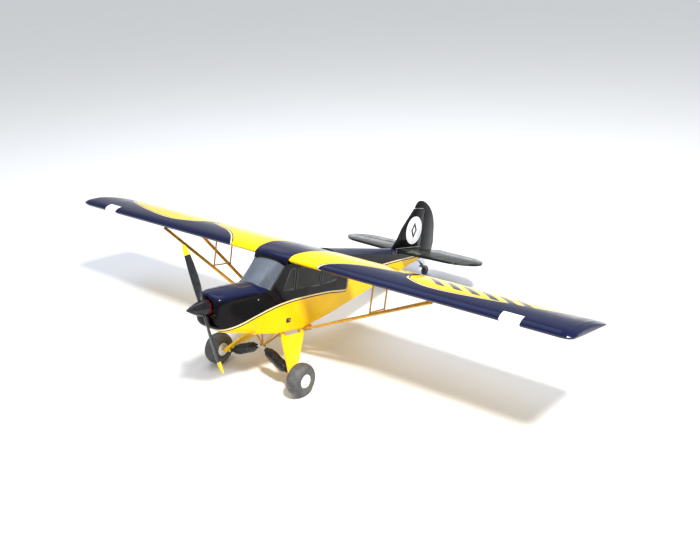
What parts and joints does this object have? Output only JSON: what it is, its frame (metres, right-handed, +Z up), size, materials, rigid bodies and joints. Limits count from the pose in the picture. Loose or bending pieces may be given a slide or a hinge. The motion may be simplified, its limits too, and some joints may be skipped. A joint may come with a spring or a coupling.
{
  "type": "radio-controlled model aircraft",
  "caption": "Radio-controlled high-wing bush plane model with strutted wing, sprung fixed gear, steerable tail wheel and moving control surfaces.",
  "frame": {"origin": "centre of the bounding box in plan, on the ground under the wheels", "axes": "+X to the port wing tip along the span, +Y aft towards the tail, +Z up; the plane stands nose-up on its three wheels"},
  "size_m": [2.16, 1.4204, 0.5357],
  "materials": {
    "covering_fuselage": "glossy",
    "cowl_paint": "glossy",
    "clear_plastic": "glossy",
    "tinted_plastic": "glossy",
    "steel_tube_paint": "satin",
    "interior_plastic": "matte",
    "plywood": "matte",
    "bright_steel": "brushed",
    "motor_metal": "satin",
    "red_anodised": "anodised",
    "spinner_plastic": "glossy",
    "blade_composite": "satin",
    "covering_wing": "glossy",
    "covering_tail": "glossy",
    "light_lens": "glossy",
    "aluminium_tube": "brushed",
    "servo_plastic": "satin",
    "hinge_nylon": "matte",
    "strut_paint": "glossy",
    "bracket_paint": "satin",
    "leg_fairing_paint": "glossy",
    "shock_cover_vinyl": "glossy",
    "tyre_rubber": "matte",
    "hub_plastic": "satin",
    "spring_steel": "satin",
    "tail_tyre": "matte",
    "battery_wrap": "satin",
    "controller_wrap": "satin"
  },
  "bodies": {
    "airframe": {"stabilizer": "covering_tail", "fin": "covering_tail", "fuselage_shell": "covering_fuselage", "windshield": "clear_plastic", "cabin_windows": "tinted_plastic", "firewall": "plywood", "radio_tray": "plywood", "instrument_panel": "interior_plastic", "roof_fairing": "covering_fuselage", "cabin_tubes": "steel_tube_paint", "cowl": "cowl_paint", "cowl_screws": "bright_steel", "motor_stator": "motor_metal", "wing_left": "covering_wing", "wing_right": "covering_wing", "landing_lights": "light_lens", "wing_joiner_tube": "aluminium_tube", "servos": "servo_plastic", "control_hinges": "hinge_nylon", "lift_struts_left": "strut_paint", "lift_struts_right": "strut_paint", "jury_struts_left": "strut_paint", "jury_struts_right": "strut_paint", "strut_fittings": "bracket_paint", "cabane_struts": "strut_paint", "gear_brackets": "bracket_paint", "tail_spring": "spring_steel", "battery": "battery_wrap", "speed_controller": "controller_wrap", "receiver": "servo_plastic", "switch_plate": "servo_plastic"},
    "power_spinner": {"motor_rotor": "motor_metal", "propeller": "blade_composite", "spinner": "spinner_plastic", "spinner_backplate": "red_anodised", "prop_nut": "bright_steel"},
    "aileron_left": {"aileron_left": "covering_wing"},
    "aileron_right": {"aileron_right": "covering_wing"},
    "flap_left": {"flap_left": "covering_wing"},
    "flap_right": {"flap_right": "covering_wing"},
    "elevator": {"elevator": "covering_tail"},
    "rudder": {"rudder": "covering_tail"},
    "elevator_servo_arm": {"elevator_servo_arm": "servo_plastic"},
    "rudder_servo_arm": {"rudder_servo_arm": "servo_plastic"},
    "elevator_pushrod": {"elevator_pushrod": "bright_steel"},
    "rudder_pushrod": {"rudder_pushrod": "bright_steel"},
    "tailwheel_fork": {"tailwheel_fork": "spring_steel"},
    "tailwheel": {"tailwheel": "tail_tyre"},
    "battery_hatch": {"battery_hatch": "covering_fuselage"},
    "switch_slider": {"switch_slider": "servo_plastic"},
    "gear_leg_left": {"gear_leg_left": "leg_fairing_paint"},
    "wheel_left": {"tyre_left": "tyre_rubber", "wheel_hub_left": "hub_plastic"},
    "shock_rod_left": {"shock_rod_left": "bright_steel"},
    "shock_cover_left": {"shock_cover_left": "shock_cover_vinyl"},
    "gear_leg_right": {"gear_leg_right": "leg_fairing_paint"},
    "wheel_right": {"tyre_right": "tyre_rubber", "wheel_hub_right": "hub_plastic"},
    "shock_rod_right": {"shock_rod_right": "bright_steel"},
    "shock_cover_right": {"shock_cover_right": "shock_cover_vinyl"}
  },
  "joints": [
    {"name": "propeller_spin", "type": "hinge", "parent": "airframe", "child": "power_spinner", "pos_m": [0, -0.64134, 0.35916], "axis": [0, -0.9649, 0.2626], "continuous": true},
    {"name": "aileron_left_hinge", "type": "hinge", "parent": "airframe", "child": "aileron_left", "pos_m": [0.8, -0.0844, 0.36827], "axis": [1, 0, 0], "range_deg": [-22, 22]},
    {"name": "aileron_right_hinge", "type": "hinge", "parent": "airframe", "child": "aileron_right", "pos_m": [-0.8, -0.0844, 0.36827], "axis": [1, 0, 0], "range_deg": [-22, 22]},
    {"name": "flap_left_hinge", "type": "hinge", "parent": "airframe", "child": "flap_left", "pos_m": [0.32, -0.0844, 0.36827], "axis": [-1, 0, 0], "range_deg": [0, 40]},
    {"name": "flap_right_hinge", "type": "hinge", "parent": "airframe", "child": "flap_right", "pos_m": [-0.32, -0.0844, 0.36827], "axis": [-1, 0, 0], "range_deg": [0, 40]},
    {"name": "elevator_hinge", "type": "hinge", "parent": "airframe", "child": "elevator", "pos_m": [0, 0.55776, 0.15357], "axis": [1, 0, 0], "range_deg": [-25, 25]},
    {"name": "elevator_arm_pivot", "type": "hinge", "parent": "airframe", "child": "elevator_servo_arm", "pos_m": [0.03, 0.38021, 0.20189], "axis": [1, 0, 0], "range_deg": [-25, 25]},
    {"name": "elevator_link_pivot", "type": "hinge", "parent": "elevator_servo_arm", "child": "elevator_pushrod", "pos_m": [0.03, 0.38468, 0.21829], "axis": [1, 0, 0], "range_deg": [-25, 25]},
    {"name": "rudder_hinge", "type": "hinge", "parent": "airframe", "child": "rudder", "pos_m": [0, 0.61425, 0.21644], "axis": [0, 0.2626, 0.9649], "range_deg": [-25, 25]},
    {"name": "rudder_arm_pivot", "type": "hinge", "parent": "airframe", "child": "rudder_servo_arm", "pos_m": [0, 0.45045, 0.15531], "axis": [0, 0.2626, 0.9649], "range_deg": [-25, 25]},
    {"name": "rudder_link_pivot", "type": "hinge", "parent": "rudder_servo_arm", "child": "rudder_pushrod", "pos_m": [-0.026, 0.45045, 0.15531], "axis": [0, 0.2626, 0.9649], "range_deg": [-25, 25]},
    {"name": "tailwheel_steer", "type": "hinge", "parent": "airframe", "child": "tailwheel_fork", "pos_m": [0, 0.61721, 0.06201], "axis": [0, 0, 1], "range_deg": [-25, 25]},
    {"name": "tailwheel_spin", "type": "hinge", "parent": "tailwheel_fork", "child": "tailwheel", "pos_m": [0, 0.64321, 0.02201], "axis": [1, 0, 0], "continuous": true},
    {"name": "battery_hatch_hinge", "type": "hinge", "parent": "airframe", "child": "battery_hatch", "pos_m": [0, -0.22385, 0.13651], "axis": [-1, 0, 0], "range_deg": [0, 80]},
    {"name": "switch_slide", "type": "slide", "parent": "airframe", "child": "switch_slider", "axis": [0, 0.9649, -0.2626], "range_m": [0, 0.007]},
    {"name": "gear_leg_left_flex", "type": "hinge", "parent": "airframe", "child": "gear_leg_left", "pos_m": [0.061, -0.30741, 0.14289], "axis": [0, -0.9649, 0.2626], "range_deg": [0, 8], "stiffness_Nm_per_rad": 40, "springref_deg": -8.59},
    {"name": "wheel_left_spin", "type": "hinge", "parent": "gear_leg_left", "child": "wheel_left", "pos_m": [0.197, -0.42586, 0.05801], "axis": [1, 0, 0], "continuous": true},
    {"name": "shock_left_pivot", "type": "hinge", "parent": "airframe", "child": "shock_rod_left", "pos_m": [0.008, -0.40212, 0.11477], "axis": [0, -0.9649, 0.2626], "range_deg": [0, 6.36]},
    {"name": "shock_left_stroke", "type": "slide", "parent": "shock_rod_left", "child": "shock_cover_left", "axis": [0.9185, -0.1038, -0.3815], "range_m": [0, 0.00937]},
    {"name": "gear_leg_right_flex", "type": "hinge", "parent": "airframe", "child": "gear_leg_right", "pos_m": [-0.061, -0.30741, 0.14289], "axis": [0, 0.9649, -0.2626], "range_deg": [0, 8], "stiffness_Nm_per_rad": 40, "springref_deg": -8.59},
    {"name": "wheel_right_spin", "type": "hinge", "parent": "gear_leg_right", "child": "wheel_right", "pos_m": [-0.197, -0.42586, 0.05801], "axis": [1, 0, 0], "continuous": true},
    {"name": "shock_right_pivot", "type": "hinge", "parent": "airframe", "child": "shock_rod_right", "pos_m": [-0.008, -0.40212, 0.11477], "axis": [0, 0.9649, -0.2626], "range_deg": [0, 6.36]},
    {"name": "shock_right_stroke", "type": "slide", "parent": "shock_rod_right", "child": "shock_cover_right", "axis": [-0.9185, -0.1038, -0.3815], "range_m": [0, 0.00937]}
  ],
  "couplings": [
    {"joint": "aileron_right_hinge", "follows": "aileron_left_hinge", "ratio": -1},
    {"joint": "flap_right_hinge", "follows": "flap_left_hinge", "ratio": 1},
    {"joint": "elevator_arm_pivot", "follows": "elevator_hinge", "ratio": 1},
    {"joint": "elevator_link_pivot", "follows": "elevator_hinge", "ratio": -1},
    {"joint": "rudder_arm_pivot", "follows": "rudder_hinge", "ratio": 1},
    {"joint": "rudder_link_pivot", "follows": "rudder_hinge", "ratio": -1},
    {"joint": "tailwheel_steer", "follows": "rudder_hinge", "ratio": 1},
    {"joint": "shock_left_pivot", "follows": "gear_leg_left_flex", "ratio": 0.78869},
    {"joint": "shock_left_stroke", "follows": "gear_leg_left_flex", "m_per_rad": 0.067021},
    {"joint": "shock_right_pivot", "follows": "gear_leg_right_flex", "ratio": 0.78869},
    {"joint": "shock_right_stroke", "follows": "gear_leg_right_flex", "m_per_rad": 0.067021}
  ]
}
